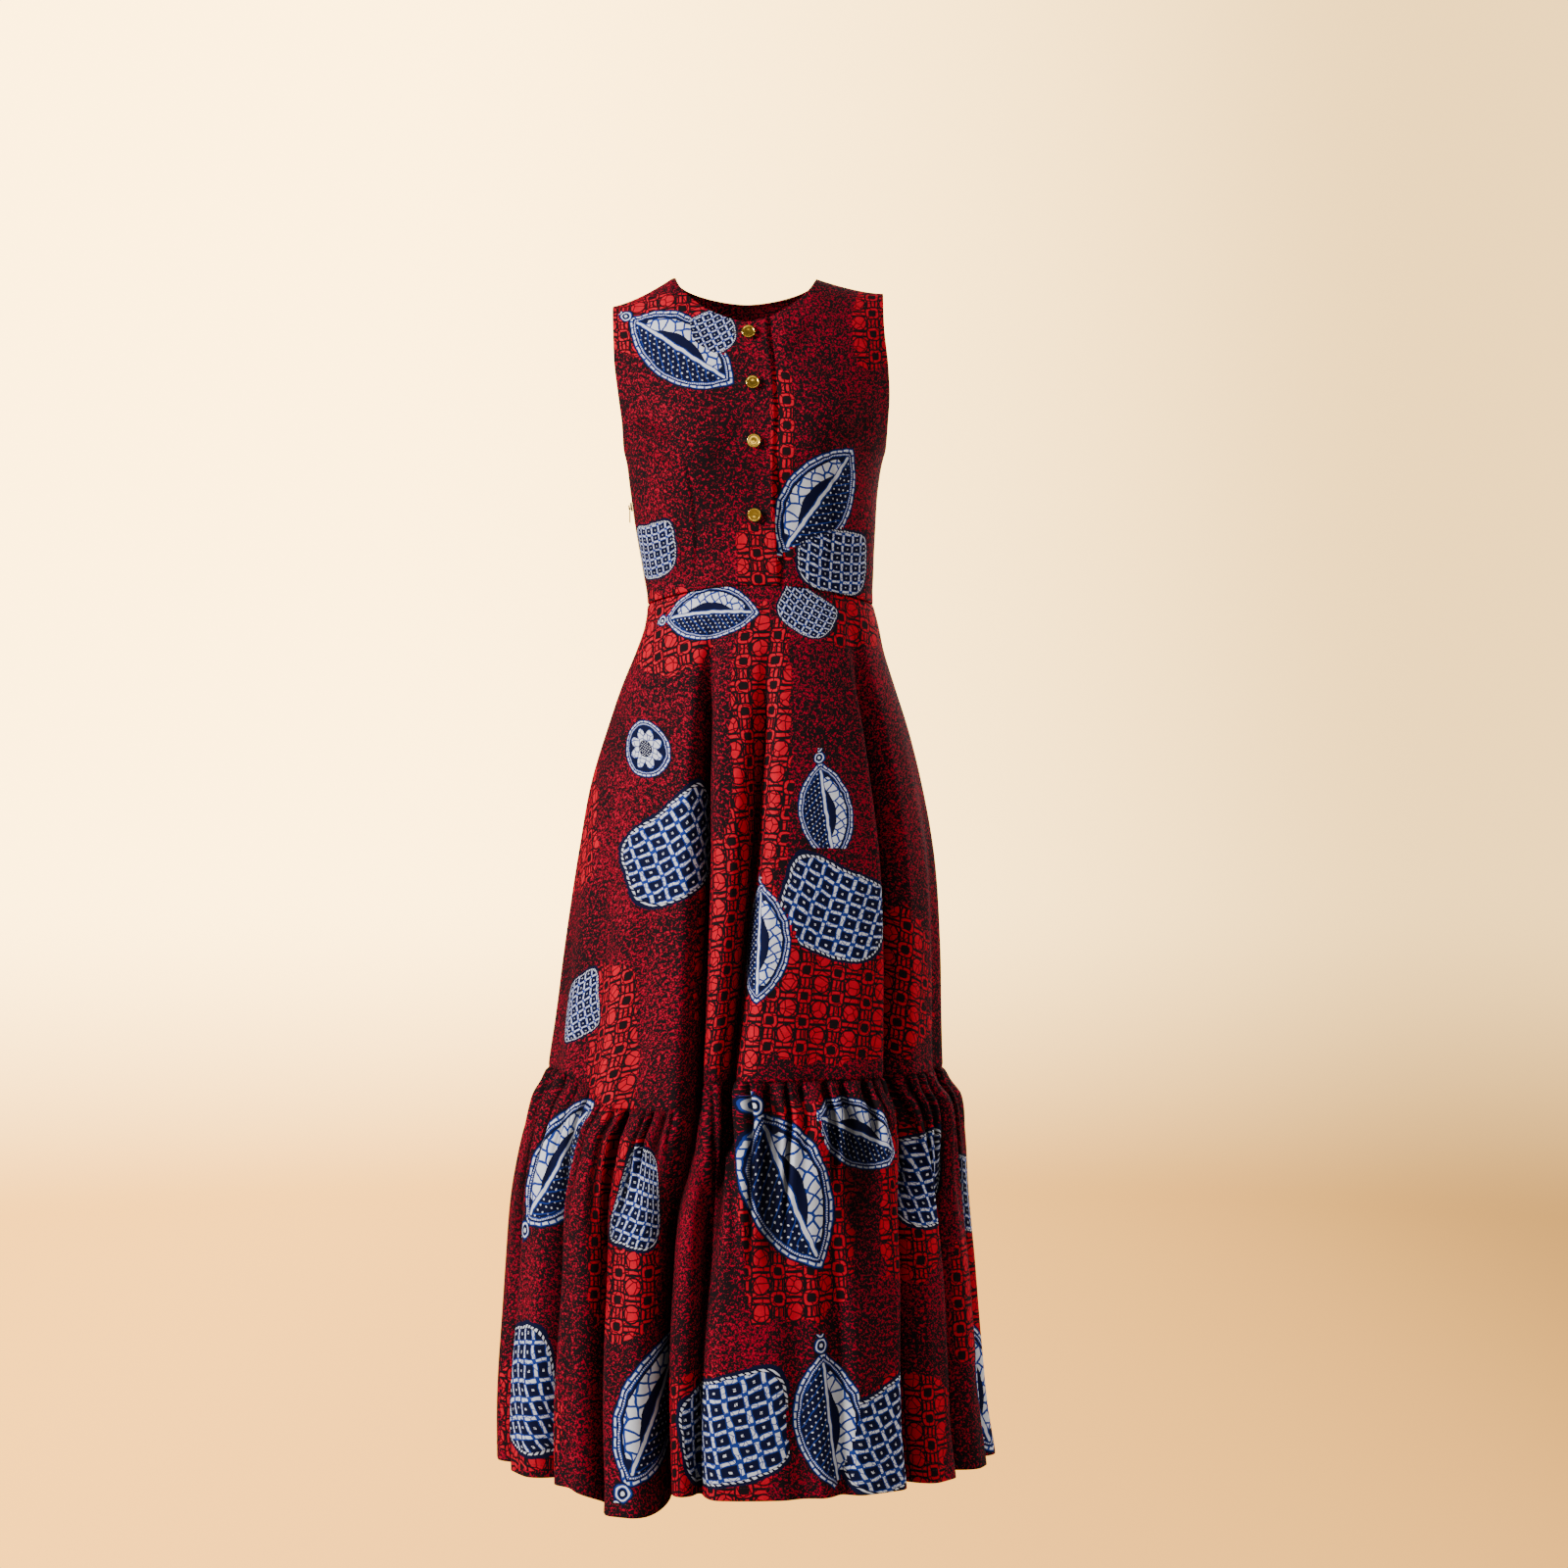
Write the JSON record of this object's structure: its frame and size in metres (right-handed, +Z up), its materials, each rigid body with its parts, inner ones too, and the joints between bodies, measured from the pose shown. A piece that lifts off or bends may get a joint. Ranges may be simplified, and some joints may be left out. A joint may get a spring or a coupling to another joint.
{
  "type": "dress",
  "caption": "Sleeveless ankle-length dress with a buttoned round-neck bodice, side zip, flared skirt and gathered flounce, holding its worn shape.",
  "frame": {"origin": "midway between the two shoulder seams at their mean height, where the wearer holds the dress up", "axes": "-Y out of the dress's front, +X towards the wearer's left, +Z up"},
  "size_m": [0.5271, 0.4803, 1.2645],
  "materials": {
    "cloth": "matt woven cotton with an all-over wax print",
    "gold": "polished gold-coloured metal",
    "zip_metal": "dark enamelled metal"
  },
  "bodies": {
    "dress": {"front_right": "cloth", "front_left": "cloth", "back_bodice": "cloth", "skirt_front": "cloth", "skirt_back": "cloth", "flounce_front": "cloth", "flounce_back": "cloth", "button_1": "gold", "button_2": "gold", "button_3": "gold", "button_4": "gold", "zip_slider": "zip_metal"},
    "pull": {"zip_pull": "zip_metal"}
  },
  "joints": [
    {"name": "zip_pull_swing", "type": "hinge", "parent": "dress", "child": "pull", "pos_m": [-0.12813, 0, -0.2364], "axis": [0, 1, 0], "range_deg": [-2, 150]}
  ]
}
